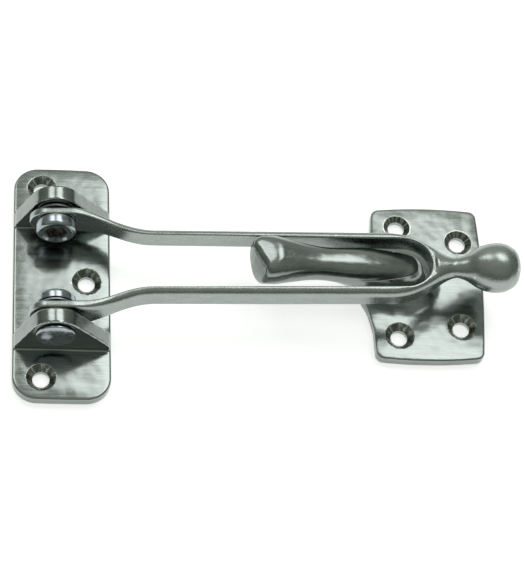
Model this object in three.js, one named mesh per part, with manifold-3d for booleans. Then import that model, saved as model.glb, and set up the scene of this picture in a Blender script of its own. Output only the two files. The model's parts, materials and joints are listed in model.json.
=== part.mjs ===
// Swing-bar door guard: a hinge plate with two lugs, a looped arm that turns on two pivot screws,
// and a strike plate whose hook the arm drops over.
// Millimetres. Both plates lie back-down on Z = 0. The origin is the centre of the hinge plate's
// back face, +X runs from the hinge plate to the strike plate, and +Z points off the plates.

import * as THREE from "three";
import { mergeVertices } from "three/addons/utils/BufferGeometryUtils.js";
import Module from "manifold-3d";

const wasm = await Module();
wasm.setup();

// ---- Driving dimensions -------------------------------------------------------------------------

const HINGE_PLATE = { width: 28.6, length: 78, endBow: 0.35, thickness: 3.2, corner: 7, edge: 0.6 };
const HINGE_HOLES = [[-5.9, 31.9], [-5.9, -31.9], [7.3, 0]];
const SCREW_HOLE = { radius: 2.5, sinkRadius: 4.3 };

// The pivot line runs along Y through this point.
const PIVOT = { x: -2.2, z: 12.4 };
const LUG = { inner: 18.1, thickness: 4.7, halfWidth: 13.9, tip: 7.4, heelLeft: 4.5, heelRight: 5.5 };
const GAP = 0.3;

// The arm's own frame has its origin on the pivot line and X along the arm.
const ARM = {
  lift: THREE.MathUtils.degToRad(2.5),
  eyeEnd: 7.7, eyeInner: 14.5, eyeOuter: 16.85, eyeHalfDepth: 5.3,
  joggleStart: 4.8, joggleEnd: 28.5, joggleShift: 0.7,
  barInner: 8.65, barOuter: 11.05, barHalfDepth: 3.45,
  slotEnd: 102.3, slotRadius: 8.05, shoulder: 97, shoulderOuter: 10.75, neckX: 115.6, neckHalf: 2.1,
};
const KNOB_PROFILE = [
  [111.8, 3.9], [114.6, 3.3], [117.6, 2.95], [120.7, 3.8], [124.1, 5.9], [127.3, 7.15],
  [130.3, 7.45], [133.5, 6.65], [136, 4.6], [137.2, 2.3],
];
const KNOB_END = 137.5;

const SLEEVE_RADIUS = 3.2;
const SCREW = {
  headRadius: 5.8, headHeight: 2.9, headInner: 10.6, shank: 2.1, socketFlats: 5.8, socketDepth: 1.6,
};
const NUT = { headRadius: 5.7, headHeight: 1.2, end: 15.1 };
const LUG_WASHER = { radius: 5.4, thickness: 0.65 };
const HEAD_WASHER = { radius: 5.5, thickness: 0.5 };

// The strike plate is a little out of square with the arm, like the hand-finished casting it is.
const STRIKE = {
  x: 109.8, y: 2.9, width: 34.5, length: 53.2, thickness: 3.2, bow: 1.1, corner: 3, edge: 0.6,
  columnLean: 0.03, rowLean: 0.012,
};
const STRIKE_HOLES = [[-8, 19.4], [10.6, 14.5], [-9.7, -18.4], [9.4, -15]];
// Stations of the hook from its tip to its root: x, y, z, half width, half height.
const HOOK_STATIONS = [
  [54.2, 0.3, 18.1, 7, 5.5], [59.5, 0.5, 18, 7.4, 5.8], [65, 0.7, 17.5, 6.8, 5.6],
  [71, 1, 16.5, 5.4, 5], [76.5, 1.1, 15.7, 4.9, 4.6], [81.5, 1.2, 14.9, 5.2, 5],
  [88, 1.4, 13.8, 5.6, 5.7], [95, 1.7, 12.3, 5.3, 5.8], [102, 2.2, 10.2, 5.1, 5.5],
  [107.3, 2.6, 9.4, 4.7, 4.6],
];
// Stations of the web under it from the plate upward: x, y, z, half length, half width.
const WEB_STATIONS = [
  [100.6, 2.9, 0.8, 10.2, 19], [100.4, 2.9, 2.6, 10.2, 17], [97.4, 2.9, 4.4, 11.4, 8],
  [94.8, 2.6, 6.6, 12.8, 5.6], [91.6, 2.1, 9.4, 14.2, 4.8], [89.6, 1.8, 12, 14.8, 4.2],
];

const SATIN = { color: 0xa7aba6, roughness: 0.38, metalness: 1 };
const BRIGHT = { color: 0xc3c9cf, roughness: 0.2, metalness: 1 };
const ZINC = { color: 0x8f9498, roughness: 0.45, metalness: 1 };

// ---- Helpers ------------------------------------------------------------------------------------

// A closed geometry as a solid that can be joined and cut.
function solidOf(geometry) {
  geometry.deleteAttribute("normal");
  geometry.deleteAttribute("uv");
  const merged = mergeVertices(geometry, 1e-4);
  const mesh = new wasm.Mesh({
    numProp: 3,
    vertProperties: new Float32Array(merged.attributes.position.array),
    triVerts: new Uint32Array(merged.index.array),
  });
  return new wasm.Manifold(mesh);
}

function geometryOf(solid) {
  const mesh = solid.getMesh();
  const geometry = new THREE.BufferGeometry();
  geometry.setAttribute("position", new THREE.BufferAttribute(mesh.vertProperties, 3));
  geometry.setIndex(new THREE.BufferAttribute(mesh.triVerts, 1));
  return geometry;
}

function piece(name, solid, look) {
  const mesh = new THREE.Mesh(geometryOf(solid), new THREE.MeshStandardMaterial(look));
  mesh.name = name;
  return mesh;
}

// A shape drawn in X and Y, extruded from z0 to z1 with softened edges inside its outline.
function slabZ(shape, z0, z1, edge, segments) {
  const bevel = { bevelEnabled: edge > 0, bevelThickness: edge, bevelSize: edge, bevelOffset: -edge };
  const depth = z1 - z0 - 2 * edge;
  const options = { depth, curveSegments: segments, bevelSegments: 2, ...bevel };
  return new THREE.ExtrudeGeometry(shape, options).translate(0, 0, z0 + edge);
}

// A shape drawn in X and Z, extruded from y0 to y1.
function slabY(shape, y0, y1, edge, segments) {
  return slabZ(shape, -y1, -y0, edge, segments).rotateX(Math.PI / 2);
}

// A profile of [radius, height] points turned about the Z axis.
function turned(profile, segments = 32) {
  const points = profile.map(([radius, height]) => new THREE.Vector2(radius, height));
  return new THREE.LatheGeometry(points, segments).rotateX(Math.PI / 2);
}

// The same, turned about an axis along Y: heights grow toward +Y, or toward -Y on the lower side.
function turnedAlongY(profile, side, segments) {
  return turned(profile, segments).rotateX(side > 0 ? -Math.PI / 2 : Math.PI / 2);
}

// Takes a point of the unit circle out toward the corners of its square.
function blunt(value) {
  return Math.sign(value) * Math.abs(value) ** 0.85;
}

// A body whose blunt oval sections follow a line of stations, each end rounded off over a share of its
// length.
function lofted(stations, place, rings, around, endRounding) {
  const centres = new THREE.CatmullRomCurve3(stations.map(([x, y, z]) => new THREE.Vector3(x, y, z)),
    false, "catmullrom", 0.5);
  const sizes = new THREE.CatmullRomCurve3(stations.map(([, , , a, b]) => new THREE.Vector3(a, b, 0)),
    false, "catmullrom", 0.5);
  const wall = Array.from({ length: rings + 1 }, (_, i) => [1, i / rings]);
  const geometry = turned([[0, 0], ...wall, [0, 1]], around);
  const position = geometry.attributes.position;
  const vertex = new THREE.Vector3();
  for (let i = 0; i < position.count; i += 1) {
    vertex.fromBufferAttribute(position, i);
    const t = THREE.MathUtils.clamp(vertex.z, 0, 1);
    const fromFull = endRounding > 0 ? Math.max(0, 1 - Math.min(t, 1 - t) / endRounding) : 0;
    const size = sizes.getPoint(t).multiplyScalar(Math.max(Math.sqrt(1 - fromFull ** 2), 0.25));
    place(vertex, centres.getPoint(t), size.x * blunt(vertex.x), size.y * blunt(vertex.y));
    position.setXYZ(i, vertex.x, vertex.y, vertex.z);
  }
  return geometry;
}

// Clears a plate for one countersunk fixing screw.
function screwHole(x, y, thickness) {
  const { radius, sinkRadius } = SCREW_HOLE;
  const profile = [
    [0, -1], [radius, -1], [radius, thickness - (sinkRadius - radius)], [sinkRadius, thickness],
    [sinkRadius, thickness + 1], [0, thickness + 1],
  ];
  return solidOf(turned(profile, 24).translate(x, y, 0));
}

// ---- Hinge plate --------------------------------------------------------------------------------

// Straight sides, round corners and slightly bowed ends.
function hingePlateShape() {
  const { width, length, endBow, corner } = HINGE_PLATE;
  const [x, y] = [width / 2, length / 2 - endBow];
  const shape = new THREE.Shape();
  shape.moveTo(-x + corner, -y);
  shape.quadraticCurveTo(0, -y - 2 * endBow, x - corner, -y);
  shape.absarc(x - corner, -y + corner, corner, -Math.PI / 2, 0);
  shape.absarc(x - corner, y - corner, corner, 0, Math.PI / 2);
  shape.quadraticCurveTo(0, y + 2 * endBow, -x + corner, y);
  shape.absarc(-x + corner, y - corner, corner, Math.PI / 2, Math.PI);
  shape.absarc(-x + corner, -y + corner, corner, Math.PI, Math.PI * 1.5);
  return shape;
}

// The angle, at the pivot, of the point where a flank from (x, z) touches the lug's round tip.
function tangentAngle(x, z, side) {
  const [dx, dz] = [x - PIVOT.x, z - PIVOT.z];
  return Math.atan2(dz, dx) + side * Math.acos(LUG.tip / Math.hypot(dx, dz));
}

function lugShape() {
  const { halfWidth, tip, heelLeft, heelRight } = LUG;
  const right = tangentAngle(halfWidth, heelRight, 1);
  const left = tangentAngle(-halfWidth, heelLeft, -1);
  const shape = new THREE.Shape();
  shape.moveTo(-halfWidth, 1);
  shape.lineTo(halfWidth, 1);
  shape.lineTo(halfWidth, heelRight);
  shape.absarc(PIVOT.x, PIVOT.z, tip, right, left + 2 * Math.PI);
  shape.lineTo(-halfWidth, heelLeft);
  return shape;
}

function hingePlate() {
  const { thickness, edge } = HINGE_PLATE;
  let solid = solidOf(slabZ(hingePlateShape(), 0, thickness, edge, 10));
  for (const side of [-1, 1]) {
    const faces = [side * LUG.inner, side * (LUG.inner + LUG.thickness)].sort((a, b) => a - b);
    solid = solid.add(solidOf(slabY(lugShape(), ...faces, 0.4, 18)));
    const bore = new THREE.CylinderGeometry(SLEEVE_RADIUS + GAP, SLEEVE_RADIUS + GAP, LUG.thickness + 2, 32);
    bore.translate(PIVOT.x, side * (LUG.inner + LUG.thickness / 2), PIVOT.z);
    solid = solid.subtract(solidOf(bore));
  }
  for (const [x, y] of HINGE_HOLES) solid = solid.subtract(screwHole(x, y, thickness));
  return piece("hinge_plate", solid, SATIN);
}

// ---- Swing arm, in the arm's own frame ----------------------------------------------------------

// Half of the arm's outer edge seen from above, from the eye to the neck, on the +Y or -Y side.
function armOuterEdge(shape, side) {
  const { eyeOuter, joggleStart, joggleEnd, joggleShift, barOuter } = ARM;
  const { shoulder, shoulderOuter, neckX, neckHalf } = ARM;
  const [start, end] = [joggleStart + joggleShift, joggleEnd + joggleShift];
  const soft = 0.4 * (end - start);
  shape.lineTo(start, side * eyeOuter);
  shape.bezierCurveTo(start + soft, side * eyeOuter, end - soft, side * barOuter, end, side * barOuter);
  shape.lineTo(shoulder, side * shoulderOuter);
  shape.bezierCurveTo(shoulder + 11, side * shoulderOuter, neckX - 4.1, side * 5, neckX, side * neckHalf);
}

// Seen from above: two bars that spread into the eyes at one end and close in a loop at the other.
function armPlan() {
  const { eyeEnd, eyeInner, eyeOuter, joggleStart, joggleEnd, barInner, slotEnd, slotRadius } = ARM;
  const soft = 0.4 * (joggleEnd - joggleStart);
  const lower = new THREE.Shape();
  lower.moveTo(-eyeEnd, -eyeOuter);
  armOuterEdge(lower, -1);
  const upper = new THREE.Shape();
  upper.moveTo(-eyeEnd, eyeOuter);
  armOuterEdge(upper, 1);
  const edge = [...lower.getPoints(14), ...upper.getPoints(14).reverse()];
  const shape = new THREE.Shape(edge);
  shape.lineTo(-eyeEnd, eyeInner);
  shape.lineTo(joggleStart, eyeInner);
  shape.bezierCurveTo(joggleStart + soft, eyeInner, joggleEnd - soft, barInner, joggleEnd, barInner);
  shape.lineTo(slotEnd, slotRadius);
  shape.absarc(slotEnd, 0, slotRadius, Math.PI / 2, -Math.PI / 2, true);
  shape.lineTo(joggleEnd, -barInner);
  shape.bezierCurveTo(joggleEnd - soft, -barInner, joggleStart + soft, -eyeInner, joggleStart, -eyeInner);
  shape.lineTo(-eyeEnd, -eyeInner);
  return shape;
}

// Seen from the side: deep round eyes, level bars, and a taper down to the neck.
function armSide() {
  const { eyeEnd, eyeHalfDepth, joggleStart, joggleEnd, barHalfDepth } = ARM;
  const { slotEnd, slotRadius, neckX, neckHalf } = ARM;
  const taper = slotEnd + slotRadius - 1;
  const shape = new THREE.Shape();
  shape.absarc(eyeHalfDepth - eyeEnd, 0, eyeHalfDepth, Math.PI / 2, Math.PI * 1.5);
  shape.lineTo(joggleStart, -eyeHalfDepth);
  shape.quadraticCurveTo(joggleStart + 6, -barHalfDepth, joggleEnd, -barHalfDepth);
  shape.lineTo(taper, -barHalfDepth);
  shape.quadraticCurveTo(taper + 5, -neckHalf, neckX + 1, -neckHalf);
  shape.lineTo(neckX + 1, neckHalf);
  shape.quadraticCurveTo(taper + 5, neckHalf, taper, barHalfDepth);
  shape.lineTo(joggleEnd, barHalfDepth);
  shape.quadraticCurveTo(joggleStart + 6, barHalfDepth, joggleStart, eyeHalfDepth);
  return shape;
}

function knob() {
  const curve = new THREE.SplineCurve(KNOB_PROFILE.map(([x, radius]) => new THREE.Vector2(radius, x)));
  const wall = curve.getPoints(20).map((point) => [point.x, point.y]);
  const start = KNOB_PROFILE[0][1];
  return turned([[0, KNOB_PROFILE[0][0]], [start, KNOB_PROFILE[0][0]], ...wall.slice(1), [0, KNOB_END]], 28)
    .rotateY(Math.PI / 2);
}

function swingArm() {
  const { eyeOuter, eyeHalfDepth } = ARM;
  const flat = solidOf(slabZ(armPlan(), -eyeHalfDepth, eyeHalfDepth, 0, 14));
  let solid = flat.intersect(solidOf(slabY(armSide(), -eyeOuter - 1, eyeOuter + 1, 0, 12)));
  solid = solid.add(solidOf(knob()));
  const bore = new THREE.CylinderGeometry(SLEEVE_RADIUS + GAP, SLEEVE_RADIUS + GAP, 2 * eyeOuter + 2, 32);
  solid = solid.subtract(solidOf(bore));
  return piece("swing_arm", solid, SATIN);
}

// ---- Pivot fasteners, one set for each side -----------------------------------------------------

function pivotScrew(side) {
  const { headRadius, headHeight, headInner, shank, socketFlats, socketDepth } = SCREW;
  const base = headInner + headHeight;
  const profile = [
    [0, headInner], [headRadius - 1.6, headInner], [headRadius - 0.6, headInner + 0.35],
    [headRadius, headInner + 1.1], [headRadius, base], [shank, base], [shank, LUG.inner + 1],
    [0, LUG.inner + 1],
  ];
  const socketRadius = socketFlats / Math.sqrt(3);
  const socket = new THREE.CylinderGeometry(socketRadius, socketRadius, 2 * socketDepth, 6);
  socket.translate(0, side * headInner, 0);
  return solidOf(turnedAlongY(profile, side, 28)).subtract(solidOf(socket));
}

function barrelNut(side) {
  const { headRadius, headHeight, end } = NUT;
  const base = LUG.inner + LUG.thickness + GAP;
  const bore = SCREW.shank + GAP;
  const profile = [
    [0, LUG.inner + 1.4], [bore, LUG.inner + 1.4], [bore, end], [SLEEVE_RADIUS, end], [SLEEVE_RADIUS, base],
    [headRadius, base], [headRadius, base + 0.35], [headRadius - 0.9, base + 0.9],
    [headRadius - 2.6, base + headHeight - 0.12], [0, base + headHeight],
  ];
  return solidOf(turnedAlongY(profile, side, 28));
}

function washer(inner, radius, thickness, side) {
  const hole = SLEEVE_RADIUS + GAP;
  const profile = [
    [hole, inner], [radius, inner], [radius, inner + thickness], [hole, inner + thickness], [hole, inner],
  ];
  return solidOf(turnedAlongY(profile, side, 28));
}

function pivotFasteners(side, label) {
  const group = new THREE.Group();
  const lugGap = LUG.inner - ARM.eyeOuter;
  const lugWasherInner = ARM.eyeOuter + (lugGap - LUG_WASHER.thickness) / 2;
  const headWasherInner = ARM.eyeInner - 0.25 - HEAD_WASHER.thickness;
  group.add(piece(`pivot_screw_${label}`, pivotScrew(side), BRIGHT));
  group.add(piece(`barrel_nut_${label}`, barrelNut(side), BRIGHT));
  group.add(piece(`lug_washer_${label}`,
    washer(lugWasherInner, LUG_WASHER.radius, LUG_WASHER.thickness, side), ZINC));
  group.add(piece(`head_washer_${label}`,
    washer(headWasherInner, HEAD_WASHER.radius, HEAD_WASHER.thickness, side), ZINC));
  return group;
}

// ---- Strike plate with its hook -----------------------------------------------------------------

function leaned(x, y) {
  return [STRIKE.x + x + STRIKE.columnLean * y, STRIKE.y + y + STRIKE.rowLean * x];
}

// Four bowed sides meeting in small round corners.
function strikeShape() {
  const [x, y] = [STRIKE.width / 2 - STRIKE.bow, STRIKE.length / 2 - STRIKE.bow];
  const { corner, bow } = STRIKE;
  const sides = [
    [[-x + corner, -y], [0, -y - 2 * bow], [x - corner, -y], [x, -y]],
    [[x, -y + corner], [x + 2 * bow, 0], [x, y - corner], [x, y]],
    [[x - corner, y], [0, y + 2 * bow], [-x + corner, y], [-x, y]],
    [[-x, y - corner], [-x - 2 * bow, 0], [-x, -y + corner], [-x, -y]],
  ];
  const shape = new THREE.Shape();
  shape.moveTo(...leaned(...sides[0][0]));
  sides.forEach(([, middle, end, vertex], i) => {
    const next = sides[(i + 1) % 4][0];
    shape.quadraticCurveTo(...leaned(...middle), ...leaned(...end));
    shape.quadraticCurveTo(...leaned(...vertex), ...leaned(...next));
  });
  return shape;
}

function hook() {
  const alongX = (vertex, centre, wide, high) => vertex.set(centre.x, centre.y + wide, centre.z + high);
  return solidOf(lofted(HOOK_STATIONS, alongX, 32, 24, 0.12));
}

function web() {
  const upward = (vertex, centre, along, wide) => vertex.set(centre.x + along, centre.y + wide, centre.z);
  return solidOf(lofted(WEB_STATIONS, upward, 8, 28, 0));
}

function strikePlate() {
  const { thickness, edge } = STRIKE;
  let solid = solidOf(slabZ(strikeShape(), 0, thickness, edge, 10));
  solid = solid.add(web()).add(hook());
  for (const [x, y] of STRIKE_HOLES) {
    solid = solid.subtract(screwHole(STRIKE.x + x, STRIKE.y + y, thickness));
  }
  return piece("hook_plate", solid, SATIN);
}

// ---- Assembly -----------------------------------------------------------------------------------

const guard = new THREE.Group();
guard.add(hingePlate());

const pivotLine = new THREE.Group();
pivotLine.position.set(PIVOT.x, 0, PIVOT.z);
guard.add(pivotLine);
pivotLine.add(pivotFasteners(1, "upper"));
pivotLine.add(pivotFasteners(-1, "lower"));

const arm = swingArm();
arm.rotation.y = -ARM.lift;
pivotLine.add(arm);

guard.add(strikePlate());

export default guard;
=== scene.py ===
"""Swing-bar door guard: fine surfaces, finishes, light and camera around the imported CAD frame.

The two castings and the arm are signed distances in millimetres, joined with fillets and made into
quad meshes. The fasteners, washers and cutters are profiles turned about a line.
"""

import json
import math

import bpy
import numpy as np
from mathutils import Euler, Matrix, Quaternion, Vector


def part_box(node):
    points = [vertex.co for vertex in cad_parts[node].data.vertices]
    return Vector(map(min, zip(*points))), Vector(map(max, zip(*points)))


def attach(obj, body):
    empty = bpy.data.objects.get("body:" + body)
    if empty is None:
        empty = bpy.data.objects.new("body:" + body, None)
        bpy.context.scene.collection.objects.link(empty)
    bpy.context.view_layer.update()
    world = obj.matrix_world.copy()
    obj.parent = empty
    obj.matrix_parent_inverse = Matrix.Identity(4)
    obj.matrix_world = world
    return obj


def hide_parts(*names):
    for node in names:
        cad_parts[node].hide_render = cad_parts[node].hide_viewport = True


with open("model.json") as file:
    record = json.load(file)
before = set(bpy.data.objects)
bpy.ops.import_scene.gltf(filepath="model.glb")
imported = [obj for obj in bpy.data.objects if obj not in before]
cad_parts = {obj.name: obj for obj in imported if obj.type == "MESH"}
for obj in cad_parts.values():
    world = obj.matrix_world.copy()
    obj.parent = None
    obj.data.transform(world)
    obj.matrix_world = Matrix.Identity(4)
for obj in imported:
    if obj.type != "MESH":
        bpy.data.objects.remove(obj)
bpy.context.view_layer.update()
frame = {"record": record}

MM = 0.001


def box_mm(node):
    """A CAD node's lowest and highest corners in millimetres."""
    low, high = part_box(node)
    return np.array(low) / MM, np.array(high) / MM


# ---- Driving dimensions, in millimetres ----------------------------------------------------------

HINGE_LOW, HINGE_HIGH = box_mm("hinge_plate")
HOOK_LOW, HOOK_HIGH = box_mm("hook_plate")
SWING = next(joint for joint in frame["record"]["behaviour"]["joints"] if joint["name"] == "arm_swing")
PIVOT_X, _, PIVOT_Z = np.array(SWING["pos_m"]) / MM

PLATE_THICKNESS = 3.2
PLATE_EDGE = {"top": 0.6, "back": 0.2}
# A polished plate's face sinks by this much at its outline, starting this far inside it.
CUSHION = {"sink": 0.14, "reach": 4}
HINGE = {"half_x": HINGE_HIGH[0], "half_y": HINGE_HIGH[1], "end_bow": 0.35, "corner": 7.0}
HINGE_HOLES = [(-5.9, 31.9), (-5.9, -31.9), (7.3, 0.0)]
HOLE_RADIUS, SINK_RADIUS, SINK_RIM = 2.5, 4.3, 0.12
SINK_SEGMENTS, SINK_CHATTER = 120, 0.006

LUG = {
    "inner": 18.1, "thickness": 4.7, "half_width": 13.9, "tip": 7.4, "heel_left": 4.5, "heel_right": 5.5,
    "flank_edge": 0.5, "face_edge": 0.35, "fillet": 0.5,
}
BORE_RADIUS = 3.5

ARM_LIFT = math.radians(2.5)
EYE = {"end": 7.7, "inner": 14.5, "outer": 16.85, "half_depth": 5.3}
JOGGLE = {"start": 4.8, "end": 28.5, "shift": 0.7, "softness": 0.4}
BAR = {"inner": 8.65, "outer": 11.05, "half_depth": 3.4, "chamfer": 1.15, "chamfer_run": 12}
BAR_EDGE = {"outer": 1.0, "top": 0.6, "corner": 0.3, "inner": 0.4}
LOOP = {"end": 102.3, "radius": 8.05, "shoulder": 97.0, "shoulder_outer": 10.75}
NECK = {"x": 115.6, "half": 1.0, "half_depth": 1.7, "fillet": 1.4}
KNOB = [
    (111.8, 3.9), (114.6, 3.3), (117.6, 2.95), (120.7, 3.8), (124.1, 5.9), (127.3, 7.15),
    (130.3, 7.45), (133.5, 6.65), (136.0, 4.6), (137.2, 2.3),
]
KNOB_END, KNOB_END_EDGE, KNOB_START_EDGE = 137.45, 1.8, 0.3

STRIKE = {
    "x": 109.8, "y": 2.9, "half_x": 17.25, "half_y": 26.6, "bow": 1.1, "corner": 2.0,
    "column_lean": 0.03, "row_lean": 0.012, "crown": 0.0012, "crown_start": 4,
}
STRIKE_HOLES = [(-8.0, 19.4), (10.6, 14.5), (-9.7, -18.4), (9.4, -15.0)]
# The hook from its tip to its root: x, y, z, half width, half height.
HOOK = np.array([
    (58.0, 0.4, 18.2, 7.05, 5.9), (62.0, 0.6, 17.9, 6.95, 6.0), (64.5, 0.7, 17.6, 6.5, 5.65),
    (67.5, 0.8, 17.1, 5.8, 5.4), (71.0, 1.0, 16.5, 5.2, 4.9), (76.5, 1.1, 15.7, 4.75, 4.6),
    (81.5, 1.2, 14.9, 5.0, 5.0), (88.0, 1.5, 13.8, 5.45, 5.5), (95.0, 1.8, 12.3, 5.25, 5.6),
    (101.0, 2.2, 10.6, 5.0, 5.4),
])
HOOK_TIP, HOOK_ROOT = 54.2, 107.3
HOOK_END_EDGE = {"tip": 4.0, "root": 4.5, "top_flat": 0.7, "end_flat": 1.3}
# The hook's tip is ground flat on its end and on top.
TIP_END = {"x": 53.9, "y": 2.2, "z": 18.0, "turn": math.radians(24), "lean": math.radians(19)}
TIP_TOP = {"x": 62.0, "z": 23.75, "fall": math.radians(14)}
# The web from the plate up into the hook: z, x, y, half length, half width.
WEB = np.array([
    (3.0, 99.0, 2.9, 10.9, 8.6), (5.0, 97.0, 2.7, 11.6, 6.3), (7.0, 94.4, 2.4, 12.8, 5.2),
    (9.4, 91.4, 2.0, 13.6, 4.6), (12.0, 89.2, 1.8, 14.0, 4.1),
])
FLARE = {"x": 100.6, "y": 2.9, "half_x": 10.2, "half_y": 18.0, "fillet": 3}
# How square each oval section is: 2 is an ellipse.
WEB_POWER, HOOK_POWER = 2.3, 2.35
WEB_FILLET, HOOK_FILLET = 4.5, 2.6

SCREW = {
    "radius": 5.8, "height": 2.9, "inner": 10.6, "shank": 2.1, "dish_radius": 3.9, "dish_depth": 0.5,
    "socket_flats": 5.9, "socket_depth": 1.9, "rim": 1.2,
}
NUT = {
    "radius": 5.7, "height": 1.2, "end": 15.1, "sleeve": 3.2, "stand_off": 0.3, "bore_gap": 0.3,
    "bore_floor": 1.4, "crown_fall": 0.16,
}
LUG_WASHER = {"inner": 17.15, "radius": 5.4, "thickness": 0.65}
HEAD_WASHER = {"inner": 13.75, "radius": 5.5, "thickness": 0.5}

TURNED_SEGMENTS = 96
SHARP_ANGLE = 35
CELL = 0.3

# The camera, fitted to the outlines of the real object: place in millimetres, turn in degrees.
CAMERA_PLACE = (-31.406, -340.489, 600.066)
CAMERA_TURN = (29.5801, -7.3373, -2.3937)
CAMERA_LENS = 143.055
HALF_PIXEL = 0.5 / 586


# ---- Signed distances ----------------------------------------------------------------------------

def joined(a, b, fillet):
    """Either solid, with a concave fillet where they meet."""
    reach = np.hypot(np.maximum(fillet - a, 0), np.maximum(fillet - b, 0))
    return np.maximum(fillet, np.minimum(a, b)) - reach


def shared(a, b, edge):
    """What both solids hold, with a rounded edge where they meet."""
    reach = np.hypot(np.maximum(edge + a, 0), np.maximum(edge + b, 0))
    return np.minimum(-edge, np.maximum(a, b)) + reach


def rounded_box(x, y, half_x, half_y, corner):
    past_x = np.abs(x) - half_x + corner
    past_y = np.abs(y) - half_y + corner
    outside = np.hypot(np.maximum(past_x, 0), np.maximum(past_y, 0))
    return outside + np.minimum(np.maximum(past_x, past_y), 0) - corner


def blunt_oval(u, v, half_u, half_v, power):
    """A superellipse, as the distance along the ray from its centre."""
    reach = np.hypot(u, v) + 1e-9
    level = ((np.abs(u) / half_u) ** power + (np.abs(v) / half_v) ** power) ** (1 / power)
    return reach - reach / np.maximum(level, 1e-6)


def curve_through(at, knots, values):
    """A smooth curve through values at knots, straight past its two ends."""
    slopes = np.gradient(values, knots)
    i = np.clip(np.searchsorted(knots, at) - 1, 0, len(knots) - 2)
    span = knots[i + 1] - knots[i]
    t = np.clip((at - knots[i]) / span, 0, 1)
    past = at - np.clip(at, knots[0], knots[-1])
    start, end = values[i], values[i + 1]
    lift = start * (1 + 2 * t) * (1 - t) ** 2 + end * t ** 2 * (3 - 2 * t)
    bend = slopes[i] * t * (1 - t) ** 2 - slopes[i + 1] * t ** 2 * (1 - t)
    return lift + span * bend + past * np.where(past < 0, slopes[0], slopes[-1])


def cushion(outline):
    """How far a polished plate's face has sunk near its outline."""
    return CUSHION["sink"] * np.clip(1 + outline / CUSHION["reach"], 0, 1.2) ** 2


def bezier(points, steps=160):
    t = np.linspace(0, 1, steps)[:, None]
    a, b, c, d = (np.array(point, float) for point in points)
    return a * (1 - t) ** 3 + 3 * b * t * (1 - t) ** 2 + 3 * c * t ** 2 * (1 - t) + d * t ** 3


# ---- From a signed distance to a mesh ------------------------------------------------------------

def slope_of(solid, points, step=0.02):
    """The distance at each point and its gradient."""
    gradient = np.empty_like(points)
    for axis in range(3):
        ahead, behind = points.copy(), points.copy()
        ahead[:, axis] += step
        behind[:, axis] -= step
        gradient[:, axis] = (solid(*ahead.T) - solid(*behind.T)) / (2 * step)
    return solid(*points.T), gradient


def onto_surface(solid, points, rounds=3):
    for _ in range(rounds):
        distance, gradient = slope_of(solid, points)
        length = np.maximum((gradient ** 2).sum(axis=1), 0.05)
        move = gradient * (distance / length)[:, None]
        size = np.maximum(np.linalg.norm(move, axis=1), 1e-12)
        points = points - move * np.minimum(1, 0.6 * CELL / size)[:, None]
    return points


def relaxed(points, quads):
    """Each vertex moved toward the middle of its neighbours."""
    ends = np.concatenate([quads[:, [0, 1]], quads[:, [1, 2]], quads[:, [2, 3]], quads[:, [3, 0]]])
    count = np.bincount(ends[:, 0], minlength=len(points))[:, None]
    middle = np.empty_like(points)
    for axis in range(3):
        middle[:, axis] = np.bincount(ends[:, 0], points[ends[:, 1], axis], len(points))
    return 0.5 * points + 0.5 * middle / np.maximum(count, 1)


def surface_of(solid, low, high):
    """The zero surface as quads, with one vertex in each grid cell that it crosses."""
    axes = [np.arange(a - 2 * CELL, b + 3 * CELL, CELL) for a, b in zip(low, high)]
    shape = tuple(len(axis) for axis in axes)
    distance = np.broadcast_to(solid(*np.meshgrid(*axes, indexing="ij", sparse=True)), shape)
    inside = distance < 0
    strides = np.array([shape[1] * shape[2], shape[2], 1])
    cells, crossings, quads = [], [], []
    for axis in range(3):
        first = tuple(slice(0, -1) if k == axis else slice(None) for k in range(3))
        second = tuple(slice(1, None) if k == axis else slice(None) for k in range(3))
        edges = np.argwhere(inside[first] != inside[second])
        a, b = distance[first][tuple(edges.T)], distance[second][tuple(edges.T)]
        crossing = edges.astype(float)
        crossing[:, axis] += a / (a - b)
        u, v = (axis + 1) % 3, (axis + 2) % 3
        base = edges @ strides
        back_u, back_v = strides[u], strides[v]
        around = np.stack([base, base - back_u, base - back_u - back_v, base - back_v], 1)
        around[a >= 0] = around[a >= 0][:, ::-1]
        cells.append(around.ravel())
        crossings.append(np.repeat(crossing, 4, axis=0))
        quads.append(around)
    _, number = np.unique(np.concatenate(cells), return_inverse=True)
    crossings = np.concatenate(crossings)
    count = np.bincount(number)
    points = np.stack([np.bincount(number, crossings[:, k]) / count for k in range(3)], axis=1)
    points = points * CELL + np.array([axis[0] for axis in axes])
    quads = number.reshape(-1, 4)
    for _ in range(2):
        points = onto_surface(solid, relaxed(points, quads))
    return onto_surface(solid, points), quads


def mesh_object(name, points, faces):
    """A smooth object from points in millimetres in the frame of the CAD."""
    mesh = bpy.data.meshes.new(name)
    mesh.from_pydata((np.asarray(points) * MM).tolist(), [], np.asarray(faces, dtype=object).tolist())
    mesh.validate()
    mesh.shade_smooth()
    made = bpy.data.objects.new(name, mesh)
    bpy.context.scene.collection.objects.link(made)
    return made


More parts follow.
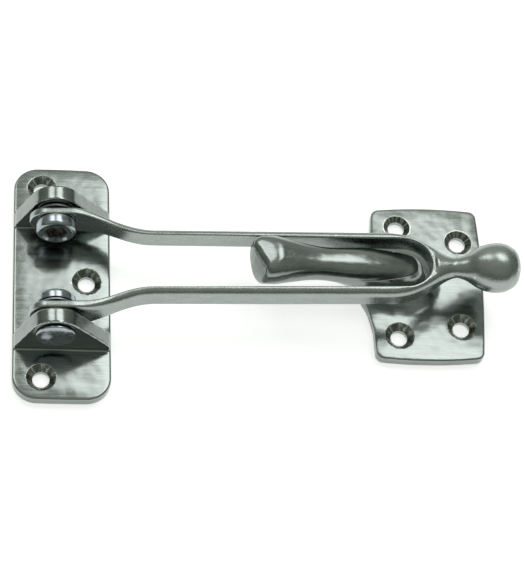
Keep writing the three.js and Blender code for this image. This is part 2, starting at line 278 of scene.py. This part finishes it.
def turned(name, profile, segments, to_frame, closed=False, chatter=0.0):
    """A profile of (radius, height) points turned about Z, then placed by to_frame.

    Chatter is how far the radius swells and shrinks round the turn, as a share of it.
    """
    angles = np.linspace(0, 2 * np.pi, segments, endpoint=False)
    swell = 1 + chatter * (np.sin(9 * angles) + 0.7 * np.sin(16 * angles + 1))
    rings = len(profile)
    points = [
        (r * k * math.cos(a), r * k * math.sin(a), h) for r, h in profile for a, k in zip(angles, swell)
    ]
    faces = []
    for ring in range(rings if closed else rings - 1):
        near, far = ring * segments, (ring + 1) % rings * segments
        for i in range(segments):
            j = (i + 1) % segments
            faces.append((near + i, near + j, far + j, far + i))
    if not closed:
        faces.append(tuple(range(segments))[::-1])
        faces.append(tuple((rings - 1) * segments + i for i in range(segments)))
    placed = [tuple(to_frame @ Vector(point)) for point in points]
    return mesh_object(name, placed, faces)


def cut_out(piece, cutters):
    """Takes the cutters out of a piece, and keeps the rims that they leave sharp."""
    for cutter in cutters:
        modifier = piece.modifiers.new("cut", "BOOLEAN")
        modifier.operation = "DIFFERENCE"
        modifier.solver = "MANIFOLD"
        modifier.object = cutter
    bpy.context.view_layer.update()
    evaluated = piece.evaluated_get(bpy.context.evaluated_depsgraph_get())
    mesh = bpy.data.meshes.new_from_object(evaluated)
    piece.modifiers.clear()
    mesh.materials.clear()
    piece.data = mesh
    mesh.shade_smooth()
    mesh.set_sharp_from_angle(angle=math.radians(SHARP_ANGLE))
    for cutter in cutters:
        bpy.data.objects.remove(cutter)


# ---- Hinge casting -------------------------------------------------------------------------------

def lug_wedge(x, z):
    """A round tip about the pivot with two straight flanks down to the heels."""
    from_x, from_z = x - PIVOT_X, z - PIVOT_Z
    angle = np.arctan2(from_x, from_z)
    limits = []
    heels = ((-LUG["half_width"], LUG["heel_left"]), (LUG["half_width"], LUG["heel_right"]))
    for heel_x, heel_z in heels:
        dx, dz = heel_x - PIVOT_X, heel_z - PIVOT_Z
        turn = math.acos(LUG["tip"] / math.hypot(dx, dz))
        limits.append(math.atan2(dx, dz) - math.copysign(turn, dx))
    past = angle - np.clip(angle, *limits)
    return np.hypot(from_x, from_z) * np.cos(past) - LUG["tip"]


def hinge_solid(x, y, z):
    bow = HINGE["end_bow"] * (x / HINGE["half_x"]) ** 2
    outline = rounded_box(x, y, HINGE["half_x"], HINGE["half_y"] - bow, HINGE["corner"])
    plate = shared(outline, z - PLATE_THICKNESS + cushion(outline), PLATE_EDGE["top"])
    plate = shared(plate, -z, PLATE_EDGE["back"])
    side = shared(lug_wedge(x, z), np.abs(x) - LUG["half_width"], LUG["flank_edge"])
    middle = LUG["inner"] + LUG["thickness"] / 2
    lug = shared(side, np.abs(np.abs(y) - middle) - LUG["thickness"] / 2, LUG["face_edge"])
    solid = joined(plate, np.maximum(lug, 1 - z), LUG["fillet"])
    solid = np.maximum(np.maximum(solid, -z), np.abs(x) - HINGE["half_x"])
    return np.maximum(solid, BORE_RADIUS - np.hypot(x - PIVOT_X, z - PIVOT_Z))


def countersink(x, y):
    """A cutter for one fixing screw: the hole, its cone and a slightly broken rim."""
    depth = SINK_RADIUS - HOLE_RADIUS
    profile = [
        (HOLE_RADIUS, -1), (HOLE_RADIUS, PLATE_THICKNESS - depth),
        (SINK_RADIUS - SINK_RIM, PLATE_THICKNESS - SINK_RIM),
        (SINK_RADIUS + SINK_RIM, PLATE_THICKNESS + 0.02), (SINK_RADIUS + SINK_RIM, PLATE_THICKNESS + 2),
    ]
    place = Matrix.Translation((x, y, 0))
    return turned("cutter", profile, SINK_SEGMENTS, place, chatter=SINK_CHATTER)


def mark_holes(piece, holes):
    """Gives the cones of the fixing holes the piece's second material."""
    mesh = piece.data
    centres = np.empty(3 * len(mesh.polygons))
    mesh.polygons.foreach_get("center", centres)
    x, y, z = centres.reshape(-1, 3).T / MM
    inside = np.zeros(len(x), dtype=bool)
    bore_top = PLATE_THICKNESS - (SINK_RADIUS - HOLE_RADIUS)
    for hole_x, hole_y in holes:
        inside |= (np.hypot(x - hole_x, y - hole_y) < SINK_RADIUS + 0.05) & (z > bore_top)
    mesh.polygons.foreach_set("material_index", inside.astype(np.int32))


def hinge_casting():
    points, quads = surface_of(hinge_solid, HINGE_LOW, HINGE_HIGH)
    piece = mesh_object("hinge_casting", points, quads)
    cut_out(piece, [countersink(x, y) for x, y in HINGE_HOLES])
    mark_holes(piece, HINGE_HOLES)
    return piece


# ---- Swing arm, in its own frame: origin on the pivot line, X along the arm -----------------------

def arm_edge(start, end, wide, narrow):
    """The S-curve by which an edge of the arm comes in from the eye to the bar."""
    soft = JOGGLE["softness"] * (end - start)
    return bezier([(start, wide), (start + soft, wide), (end - soft, narrow), (end, narrow)])


def arm_curves():
    """Outer edge, inner edge and half depth of the arm, each as points along X."""
    shift = JOGGLE["shift"]
    outer = np.concatenate([
        [(-20, EYE["outer"])],
        arm_edge(JOGGLE["start"] + shift, JOGGLE["end"] + shift, EYE["outer"], BAR["outer"]),
        bezier([
            (LOOP["shoulder"], LOOP["shoulder_outer"]), (LOOP["shoulder"] + 10.5, LOOP["shoulder_outer"]),
            (NECK["x"] - 4.6, 5.0), (NECK["x"] + 3.4, NECK["half"]),
        ]),
        [(NECK["x"] + 20, NECK["half"])],
    ])
    inner = np.concatenate([
        [(-20, EYE["inner"])],
        arm_edge(JOGGLE["start"], JOGGLE["end"], EYE["inner"], BAR["inner"]),
        [(LOOP["end"], LOOP["radius"])],
    ])
    depth = np.concatenate([
        [(-20, EYE["half_depth"]), (2, EYE["half_depth"])],
        bezier([
            (4.0, EYE["half_depth"]), (9.0, EYE["half_depth"]),
            (11.0, BAR["half_depth"]), (19.0, BAR["half_depth"]),
        ]),
        bezier([
            (LOOP["end"], BAR["half_depth"]), (LOOP["end"] + 8, BAR["half_depth"]),
            (NECK["x"] - 3, 2.9), (NECK["x"] + 3.4, NECK["half_depth"]),
        ]),
        [(NECK["x"] + 20, NECK["half_depth"])],
    ])
    return outer, inner, depth


OUTER_EDGE, INNER_EDGE, HALF_DEPTH = arm_curves()
KNOB_KNOTS = np.array([x for x, _ in KNOB])
KNOB_RADII = np.array([radius for _, radius in KNOB])


def height_on(curve, x):
    """The curve's height at x, and the share of a height that is distance to the curve."""
    height = np.interp(x, curve[:, 0], curve[:, 1])
    ahead = np.interp(x + 0.1, curve[:, 0], curve[:, 1])
    behind = np.interp(x - 0.1, curve[:, 0], curve[:, 1])
    slope = (ahead - behind) / 0.2
    return height, 1 / np.sqrt(1 + slope ** 2)


def knob_solid(x, y, z):
    around = np.hypot(y, z)
    radius = curve_through(np.clip(x, KNOB_KNOTS[0], KNOB_KNOTS[-1]), KNOB_KNOTS, KNOB_RADII)
    slope = np.gradient(KNOB_RADII, KNOB_KNOTS)
    steep = np.interp(x, KNOB_KNOTS, slope)
    side = (around - radius) / np.sqrt(1 + steep ** 2)
    solid = shared(side, KNOB_KNOTS[0] - x, KNOB_START_EDGE)
    return shared(solid, x - KNOB_END, KNOB_END_EDGE)


def arm_solid(x, y, z):
    wide = np.abs(y)
    edge, share = height_on(OUTER_EDGE, x)
    outer = (wide - edge) * share
    edge, share = height_on(INNER_EDGE, x)
    round_end = LOOP["radius"] - np.hypot(x - LOOP["end"], y)
    inner = np.where(x < LOOP["end"], (edge - wide) * share, round_end)
    half, share = height_on(HALF_DEPTH, x)
    eye_x = EYE["half_depth"] - EYE["end"]
    round_eye = np.hypot(x - eye_x, z) - EYE["half_depth"]
    depth = np.where(x < eye_x, round_eye, (np.abs(z) - half) * share)
    # The bars' outer top edge is ground off at a slant.
    cut = BAR["chamfer"] * np.clip((x - JOGGLE["start"]) / BAR["chamfer_run"], 0, 1)
    slant = (outer + depth + np.where(z > 0, cut, -1)) * math.sqrt(0.5)
    side = shared(outer, slant, BAR_EDGE["outer"])
    body = shared(side, shared(depth, slant, BAR_EDGE["top"]), BAR_EDGE["corner"])
    body = shared(body, inner, BAR_EDGE["inner"])
    # The flat body stops inside the knob.
    body = np.maximum(body, x - NECK["x"] - 3)
    solid = joined(body, knob_solid(x, y, z), NECK["fillet"])
    return np.maximum(solid, BORE_RADIUS - np.hypot(x, z))


def arm_forging():
    half_y, half_z = EYE["outer"], KNOB_RADII.max()
    points, quads = surface_of(arm_solid, (-EYE["end"], -half_y, -half_z), (KNOB_END, half_y, half_z))
    to_frame = Matrix.Translation((PIVOT_X, 0, PIVOT_Z)) @ Matrix.Rotation(-ARM_LIFT, 4, "Y")
    turn = np.array(to_frame.to_3x3())
    points = points @ turn.T + np.array(to_frame.translation)
    return mesh_object("arm_forging", points, quads)


# ---- Hook casting --------------------------------------------------------------------------------

def strike_solid(x, y, z):
    """The bowed plate, a little out of square, and the flare in its edge toward the web."""
    across, along = x - STRIKE["x"], y - STRIKE["y"]
    u = across - STRIKE["column_lean"] * along
    v = along - STRIKE["row_lean"] * across
    half_u = STRIKE["half_x"] - STRIKE["bow"] * (v / STRIKE["half_y"]) ** 2
    half_v = STRIKE["half_y"] - STRIKE["bow"] * (u / STRIKE["half_x"]) ** 2
    outline = rounded_box(u, v, half_u, half_v, STRIKE["corner"])
    flare = blunt_oval(x - FLARE["x"], y - FLARE["y"], FLARE["half_x"], FLARE["half_y"], WEB_POWER)
    outline = joined(outline, flare, FLARE["fillet"])
    # The face falls away a little toward its far end.
    sunk = cushion(outline) + STRIKE["crown"] * np.maximum(v - STRIKE["crown_start"], 0) ** 2
    plate = shared(outline, z - PLATE_THICKNESS + sunk, PLATE_EDGE["top"])
    return shared(plate, -z, PLATE_EDGE["back"])


def web_solid(x, y, z):
    at = np.clip(z, WEB[0, 0], WEB[-1, 0])
    centre_x, centre_y, length, width = (curve_through(at, WEB[:, 0], WEB[:, k]) for k in range(1, 5))
    column = blunt_oval(x - centre_x, y - centre_y, length, width, WEB_POWER)
    return np.maximum(np.maximum(column, 1 - z), z - WEB[-1, 0] - 1)


def hook_bar(x, y, z):
    """An oval bar with blunt ends, and flats ground on its tip."""
    at = np.clip(x, HOOK_TIP, HOOK_ROOT)
    centre_y, centre_z, width, height = (curve_through(at, HOOK[:, 0], HOOK[:, k]) for k in range(1, 5))
    bar = blunt_oval(y - centre_y, z - centre_z, width, height, HOOK_POWER)
    bar = shared(bar, HOOK_TIP - x, HOOK_END_EDGE["tip"])
    bar = shared(bar, x - HOOK_ROOT, HOOK_END_EDGE["root"])
    turn, fall = TIP_END["turn"], TIP_TOP["fall"]
    end = (TIP_END["x"] - x) * math.cos(turn) + (TIP_END["y"] - y) * math.sin(turn)
    end = end * math.cos(TIP_END["lean"]) + (z - TIP_END["z"]) * math.sin(TIP_END["lean"])
    top = (z - TIP_TOP["z"]) * math.cos(fall) + (TIP_TOP["x"] - x) * math.sin(fall)
    return shared(shared(bar, top, HOOK_END_EDGE["top_flat"]), end, HOOK_END_EDGE["end_flat"])


def hook_solid(x, y, z):
    plate = joined(strike_solid(x, y, z), web_solid(x, y, z), WEB_FILLET)
    return np.maximum(joined(plate, hook_bar(x, y, z), HOOK_FILLET), -z)


def hook_casting():
    points, quads = surface_of(hook_solid, HOOK_LOW, HOOK_HIGH)
    piece = mesh_object("hook_casting", points, quads)
    holes = [(STRIKE["x"] + x, STRIKE["y"] + y) for x, y in STRIKE_HOLES]
    cut_out(piece, [countersink(x, y) for x, y in holes])
    mark_holes(piece, holes)
    return piece


# ---- Pivot fasteners -----------------------------------------------------------------------------

def along_pivot(side):
    """From a turned piece's own Z to the pivot line, outward on one side."""
    return Matrix.Translation((PIVOT_X, 0, PIVOT_Z)) @ Matrix.Rotation(-side * math.pi / 2, 4, "X")


def softened(piece, width):
    """Small round edges on a turned piece."""
    bevel = piece.modifiers.new("edges", "BEVEL")
    bevel.width = width * MM
    bevel.segments = 3
    bevel.limit_method = "ANGLE"
    bevel.angle_limit = math.radians(40)
    bevel.harden_normals = True
    return piece


def arc(centre, radius, start, end, steps):
    """Profile points on a circle, with angles in degrees from straight out toward greater height."""
    angles = np.radians(np.linspace(start, end, steps))
    return [(centre[0] + radius * math.cos(a), centre[1] + radius * math.sin(a)) for a in angles]


def socket_screw(side, label):
    """A low cheese head with a dished face, a hexagon socket and a plain shank."""
    inner, radius = SCREW["inner"], SCREW["radius"]
    base, floor = inner + SCREW["height"], inner + SCREW["dish_depth"]
    rim = arc((radius - SCREW["rim"], inner + SCREW["rim"]), SCREW["rim"], -90, 0, 12)
    profile = [
        (0.05, floor), (SCREW["dish_radius"], floor), *rim, (radius, base), (SCREW["shank"], base),
        (SCREW["shank"], LUG["inner"] + 1),
    ]
    place = along_pivot(side)
    piece = turned(f"socket_screw_{label}", profile, TURNED_SEGMENTS, place)
    socket = SCREW["socket_flats"] / math.sqrt(3)
    depth = floor + SCREW["socket_depth"]
    bore = [(socket, inner - 2), (socket, depth - 0.3), (socket * 0.8, depth)]
    cut_out(piece, [turned("cutter", bore, 6, place)])
    # The inside of the socket gets its own material, painted dark as shade.
    for face in piece.data.polygons:
        from_line = math.hypot(face.center.x / MM - PIVOT_X, face.center.z / MM - PIVOT_Z)
        deep = floor + 0.1 < abs(face.center.y) / MM < depth + 0.1
        face.material_index = int(deep and from_line < socket)
    return softened(piece, 0.12)


def dome_nut(side, label):
    """A sleeve for the screw, with a low domed head outside the lug."""
    base = LUG["inner"] + LUG["thickness"] + NUT["stand_off"]
    radius, top = NUT["radius"], base + NUT["height"]
    angles = np.linspace(1.45, 0.01, 14)
    crown = [
        (radius * math.sin(a), top - radius * (1 - math.cos(a)) * NUT["crown_fall"]) for a in angles
    ]
    bore, bore_floor = SCREW["shank"] + NUT["bore_gap"], LUG["inner"] + NUT["bore_floor"]
    profile = [
        (bore, bore_floor), (bore, NUT["end"]), (NUT["sleeve"], NUT["end"]),
        (NUT["sleeve"], base), (radius, base), *crown,
    ]
    piece = turned(f"dome_nut_{label}", profile, TURNED_SEGMENTS, along_pivot(side))
    return softened(piece, 0.1)


def flat_washer(name, size, side):
    near, far = size["inner"], size["inner"] + size["thickness"]
    hole, radius = BORE_RADIUS, size["radius"]
    profile = [(hole, near), (radius, near), (radius, far), (hole, far)]
    ring = turned(name, profile, TURNED_SEGMENTS, along_pivot(side), closed=True)
    return softened(ring, 0.12)


# ---- Finishes ------------------------------------------------------------------------------------

def mapped(tree, value, low, high, start, end):
    """Value mapped from low..high to start..end, in a node tree."""
    node = tree.nodes.new("ShaderNodeMapRange")
    limits = {"From Min": low, "From Max": high, "To Min": start, "To Max": end}
    for socket, number in limits.items():
        node.inputs[socket].default_value = number
    tree.links.new(value, node.inputs["Value"])
    return node.outputs["Result"]


class Nodes:
    """A material's node tree, with short calls for the few nodes that the finishes use."""

    def __init__(self, name):
        self.material = bpy.data.materials.new(name)
        self.material.use_nodes = True
        self.tree = self.material.node_tree
        self.shader = self.tree.nodes["Principled BSDF"]
        self.place = self.tree.nodes.new("ShaderNodeTexCoord").outputs["Object"]

    def link(self, source, target):
        self.tree.links.new(source, target)
        return target

    def stretched(self, scale, turn=(0, 0, 0)):
        node = self.tree.nodes.new("ShaderNodeMapping")
        node.inputs["Scale"].default_value = scale
        node.inputs["Rotation"].default_value = [math.radians(angle) for angle in turn]
        self.link(self.place, node.inputs["Vector"])
        return node.outputs["Vector"]

    def noise(self, vector, scale, detail=3.0, roughness=0.55):
        node = self.tree.nodes.new("ShaderNodeTexNoise")
        node.inputs["Scale"].default_value = scale
        node.inputs["Detail"].default_value = detail
        node.inputs["Roughness"].default_value = roughness
        self.link(vector, node.inputs["Vector"])
        return node.outputs["Fac"]

    def ramp(self, value, low, high, start, end):
        return mapped(self.tree, value, low, high, start, end)

    def math(self, operation, a, b):
        node = self.tree.nodes.new("ShaderNodeMath")
        node.operation = operation
        for socket, value in zip(node.inputs, (a, b)):
            if isinstance(value, (int, float)):
                socket.default_value = value
            else:
                self.link(value, socket)
        return node.outputs["Value"]

    def blend(self, factor, first, second):
        node = self.tree.nodes.new("ShaderNodeMix")
        node.data_type = "RGBA"
        for socket, value in (("A", first), ("B", second)):
            target = next(s for s in node.inputs if s.name == socket and s.type == "RGBA")
            if isinstance(value, tuple):
                target.default_value = (*value, 1)
            else:
                self.link(value, target)
        self.link(factor, node.inputs["Factor"])
        return next(s for s in node.outputs if s.type == "RGBA")

    def bump(self, height, strength, distance, below=None):
        node = self.tree.nodes.new("ShaderNodeBump")
        node.inputs["Strength"].default_value = strength
        node.inputs["Distance"].default_value = distance
        self.link(height, node.inputs["Height"])
        if below is not None:
            self.link(below, node.inputs["Normal"])
        return node.outputs["Normal"]

    def edges(self, low, high):
        """One on convex edges, zero on flat and hollow faces."""
        geometry = self.tree.nodes.new("ShaderNodeNewGeometry")
        return self.ramp(geometry.outputs["Pointiness"], low, high, 0, 1)


def satin_metal(name, grain, turn, tints, roughness, scratch, cast, wave_height):
    """Brushed metal: long fine scratches along the grain, over faint cast waviness.

    Scratch and cast are the strengths of the scratches and of the fine cast skin in the surface.
    """
    nodes = Nodes(name)
    shader = nodes.shader
    shader.inputs["Metallic"].default_value = 1
    fine = nodes.noise(nodes.stretched(grain, turn), 1, detail=4, roughness=0.6)
    coarse = nodes.noise(nodes.stretched([s * 0.22 for s in grain], turn), 1, detail=3)
    skin = nodes.noise(nodes.place, 2400, detail=3, roughness=0.6)
    wave = nodes.noise(nodes.place, 95, detail=2)
    streaks = nodes.math("ADD", nodes.math("MULTIPLY", fine, 0.55), nodes.math("MULTIPLY", coarse, 0.45))
    tint = nodes.blend(nodes.ramp(streaks, 0.3, 0.7, 0, 1), tints[0], tints[1])
    # Convex edges are painted lighter, partly as wear and partly as a painted highlight where rounded
    # edges catch the light; the lower roughness there is wear.
    worn_and_lit_edges = nodes.edges(0.51, 0.56)
    tint = nodes.blend(nodes.math("MULTIPLY", worn_and_lit_edges, 0.7), tint, tints[2])
    nodes.link(tint, shader.inputs["Base Color"])
    rough = nodes.ramp(streaks, 0.3, 0.7, roughness[0], roughness[1])
    rough = nodes.math("SUBTRACT", rough, nodes.math("MULTIPLY", worn_and_lit_edges, 0.06))
    nodes.link(rough, shader.inputs["Roughness"])
    normal = nodes.bump(wave, 0.35, wave_height)
    normal = nodes.bump(skin, cast, 0.00005, normal)
    normal = nodes.bump(streaks, scratch, 0.00003, normal)
    nodes.link(normal, shader.inputs["Normal"])
    return nodes.material


def drilled_metal_painted_glints(name):
    """Bare metal left by a drill, with painted highlight and painted shade in streaks that run in toward
    the hole's centre.
    """
    nodes = Nodes(name)
    shader = nodes.shader
    shader.inputs["Metallic"].default_value = 1
    # A cone faces one way along each line in to the hole, so noise read from its facing makes streaks.
    facing = nodes.tree.nodes.new("ShaderNodeTexCoord").outputs["Normal"]
    streaks = nodes.noise(facing, 5.5, detail=3, roughness=0.7)
    # Painted highlight and shade: the colour runs light and dark in streaks round the hole, where turned
    # scratches would catch the light.
    tint = nodes.blend(nodes.ramp(streaks, 0.42, 0.62, 0, 1), (0.13, 0.14, 0.115), (0.62, 0.65, 0.6))
    nodes.link(tint, shader.inputs["Base Color"])
    nodes.link(nodes.ramp(streaks, 0.3, 0.7, 0.16, 0.32), shader.inputs["Roughness"])
    swirl = nodes.noise(nodes.place, 3000, detail=2)
    nodes.link(nodes.bump(swirl, 0.2, 0.00003), shader.inputs["Normal"])
    return nodes.material


def bright_zinc(name):
    """Smooth plating, cloudy and faintly ringed by the lathe."""
    nodes = Nodes(name)
    shader = nodes.shader
    shader.inputs["Metallic"].default_value = 1
    cloud = nodes.noise(nodes.place, 700, detail=3)
    tint = nodes.blend(nodes.ramp(cloud, 0.35, 0.65, 0, 1), (0.28, 0.32, 0.35), (0.42, 0.46, 0.49))
    nodes.link(tint, shader.inputs["Base Color"])
    nodes.link(nodes.ramp(cloud, 0.3, 0.7, 0.14, 0.27), shader.inputs["Roughness"])
    turning = nodes.noise(nodes.stretched((900, 9000, 900)), 1, detail=2)
    normal = nodes.bump(cloud, 0.2, 0.00015)
    nodes.link(nodes.bump(turning, 0.12, 0.00003, normal), shader.inputs["Normal"])
    return nodes.material


def dull_zinc(name):
    """Plating gone dull, in fine clouds."""
    nodes = Nodes(name)
    shader = nodes.shader
    shader.inputs["Metallic"].default_value = 1
    cloud = nodes.noise(nodes.place, 1100, detail=4)
    tint = nodes.blend(nodes.ramp(cloud, 0.3, 0.7, 0, 1), (0.3, 0.32, 0.32), (0.5, 0.52, 0.54))
    nodes.link(tint, shader.inputs["Base Color"])
    nodes.link(nodes.ramp(cloud, 0.3, 0.7, 0.3, 0.5), shader.inputs["Roughness"])
    nodes.link(nodes.bump(cloud, 0.25, 0.0001), shader.inputs["Normal"])
    return nodes.material


def socket_painted_shade(name):
    """Painted shade for the inside of a socket: dark blotches over zinc."""
    nodes = Nodes(name)
    shader = nodes.shader
    blotch = nodes.noise(nodes.place, 900, detail=3)
    # Painted shade: the colour is near black, with lighter blotches.
    tint = nodes.blend(nodes.ramp(blotch, 0.4, 0.65, 0, 1), (0.05, 0.055, 0.05), (0.3, 0.28, 0.22))
    nodes.link(tint, shader.inputs["Base Color"])
    shader.inputs["Metallic"].default_value = 0.6
    nodes.link(nodes.ramp(blotch, 0.3, 0.7, 0.35, 0.55), shader.inputs["Roughness"])
    nodes.link(nodes.bump(blotch, 0.4, 0.0002), shader.inputs["Normal"])
    return nodes.material


# ---- Light, floor and camera ---------------------------------------------------------------------

LIT_POINT = (0.06, 0, 0)
FLOOR_HALF, FLOOR_Z = 1.5, -0.0006
RIGHT_KEY = {
    "direction": (0.24, 0.37, 0.88), "distance": 1.1, "size": (0.66, 0.42), "radiance": 2.7, "roll": -26,
}
LEFT_KEY = {"direction": (-0.36, 0.46, 0.8), "distance": 1.1, "size": (0.34, 0.46), "radiance": 2.4}


def softbox(name, direction, distance, size, radiance, roll=0.0):
    """A rectangular light that faces the middle of the object."""
    light = bpy.data.lights.new(name, "AREA")
    light.shape = "RECTANGLE"
    light.size, light.size_y = size
    light.energy = radiance * math.pi * size[0] * size[1]
    lamp = bpy.data.objects.new(name, light)
    centre = Vector(LIT_POINT)
    lamp.location = centre + Vector(direction).normalized() * distance
    facing = (lamp.location - centre).to_track_quat("Z", "Y")
    lamp.rotation_euler = (facing @ Quaternion((0, 0, 1), math.radians(roll))).to_euler()
    bpy.context.scene.collection.objects.link(lamp)


def studio():
    world = bpy.data.worlds.new("studio")
    world.use_nodes = True
    tree = world.node_tree
    background = tree.nodes["Background"]
    background.inputs["Color"].default_value = (0.94, 1, 0.9, 1)
    # The room is brighter overhead and behind the object than round the other walls.
    direction = tree.nodes.new("ShaderNodeTexCoord").outputs["Generated"]
    split = tree.nodes.new("ShaderNodeSeparateXYZ")
    tree.links.new(direction, split.inputs["Vector"])
    overhead = mapped(tree, split.outputs["Z"], 0.1, 0.9, 0.16, 0.42)
    behind = mapped(tree, split.outputs["Y"], 0.5, 1.0, 0.0, 0.4)
    both = tree.nodes.new("ShaderNodeMath")
    tree.links.new(overhead, both.inputs[0])
    tree.links.new(behind, both.inputs[1])
    tree.links.new(both.outputs["Value"], background.inputs["Strength"])
    scene = bpy.context.scene
    scene.world = world
    scene.view_settings.view_transform = "Standard"
    softbox("right_key", **RIGHT_KEY)
    softbox("left_key", **LEFT_KEY)


def pale_floor():
    nodes = Nodes("floor_paper")
    shader = nodes.shader
    speck = nodes.noise(nodes.place, 300, detail=2)
    tint = nodes.blend(nodes.ramp(speck, 0.3, 0.7, 0, 1), (0.93, 0.94, 0.93), (0.95, 0.95, 0.94))
    nodes.link(tint, shader.inputs["Base Color"])
    shader.inputs["Roughness"].default_value = 0.9
    shader.inputs["Emission Color"].default_value = (1, 1, 1, 1)
    far = nodes.tree.nodes.new("ShaderNodeVectorMath")
    far.operation = "LENGTH"
    nodes.link(nodes.place, far.inputs[0])
    # The table is lit like a light box round the object and fades into the room.
    glow = nodes.ramp(far.outputs["Value"], 0.22, 0.5, 0.62, 0.1)
    nodes.link(glow, shader.inputs["Emission Strength"])
    mesh = bpy.data.meshes.new("floor")
    turns = ((-1, -1), (1, -1), (1, 1), (-1, 1))
    corners = [(x * FLOOR_HALF, y * FLOOR_HALF, FLOOR_Z) for x, y in turns]
    mesh.from_pydata(corners, [], [(0, 1, 2, 3)])
    floor = bpy.data.objects.new("floor", mesh)
    floor.data.materials.append(nodes.material)
    bpy.context.scene.collection.objects.link(floor)


def camera():
    data = bpy.data.cameras.new("camera")
    data.lens = CAMERA_LENS
    data.shift_x, data.shift_y = -HALF_PIXEL, HALF_PIXEL
    eye = bpy.data.objects.new("camera", data)
    eye.location = [value * MM for value in CAMERA_PLACE]
    eye.rotation_euler = Euler([math.radians(angle) for angle in CAMERA_TURN], "XYZ")
    bpy.context.scene.collection.objects.link(eye)
    bpy.context.scene.camera = eye


# ---- Assembly ------------------------------------------------------------------------------------

def finish_piece(piece, body, node, slot, *materials):
    for material in materials:
        piece.data.materials.append(material)
    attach(piece, body)
    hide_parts(node)


camera()
studio()
pale_floor()

# Each finish's colours: two that the scratches mix, and one for convex edges, painted lighter as wear and
# as a painted highlight.
PLATE_TINTS = ((0.2, 0.225, 0.215), (0.32, 0.35, 0.335), (0.38, 0.41, 0.4))
ARM_TINTS = ((0.28, 0.312, 0.298), (0.38, 0.415, 0.4), (0.52, 0.57, 0.55))
plate_satin = satin_metal(
    "plate_satin", grain=(150, 2600, 2600), turn=(0, 0, 0), tints=PLATE_TINTS, roughness=(0.13, 0.23),
    scratch=0.5, cast=0.1, wave_height=0.0006,
)
arm_satin = satin_metal(
    "arm_satin", grain=(900, 2600, 2600), turn=(0, 0, 0), tints=ARM_TINTS, roughness=(0.22, 0.31),
    scratch=0.3, cast=0.7, wave_height=0.0005,
)
hook_satin = satin_metal(
    "hook_satin", grain=(200, 2800, 2800), turn=(0, 0, 28), tints=PLATE_TINTS, roughness=(0.17, 0.28),
    scratch=0.5, cast=0.25, wave_height=0.0014,
)
countersink_painted_glints = drilled_metal_painted_glints("drilled_metal_painted_glints")
zinc = bright_zinc("bright_zinc")
dull = dull_zinc("dull_zinc")
socket_shade = socket_painted_shade("socket_painted_shade")

finish_piece(hinge_casting(), "hinge", "hinge_plate", "satin_casting", plate_satin, countersink_painted_glints)
finish_piece(arm_forging(), "arm", "swing_arm", "satin_casting", arm_satin)
finish_piece(hook_casting(), "strike", "hook_plate", "satin_casting", hook_satin, countersink_painted_glints)
for side, label in ((1, "upper"), (-1, "lower")):
    finish_piece(socket_screw(side, label), "hinge", f"pivot_screw_{label}", "bright_fastener", zinc, socket_shade)
    finish_piece(dome_nut(side, label), "hinge", f"barrel_nut_{label}", "bright_fastener", zinc)
    for kind, size in (("lug", LUG_WASHER), ("head", HEAD_WASHER)):
        ring = flat_washer(f"{kind}_washer_ring_{label}", size, side)
        finish_piece(ring, "hinge", f"{kind}_washer_{label}", "zinc_washer", dull)
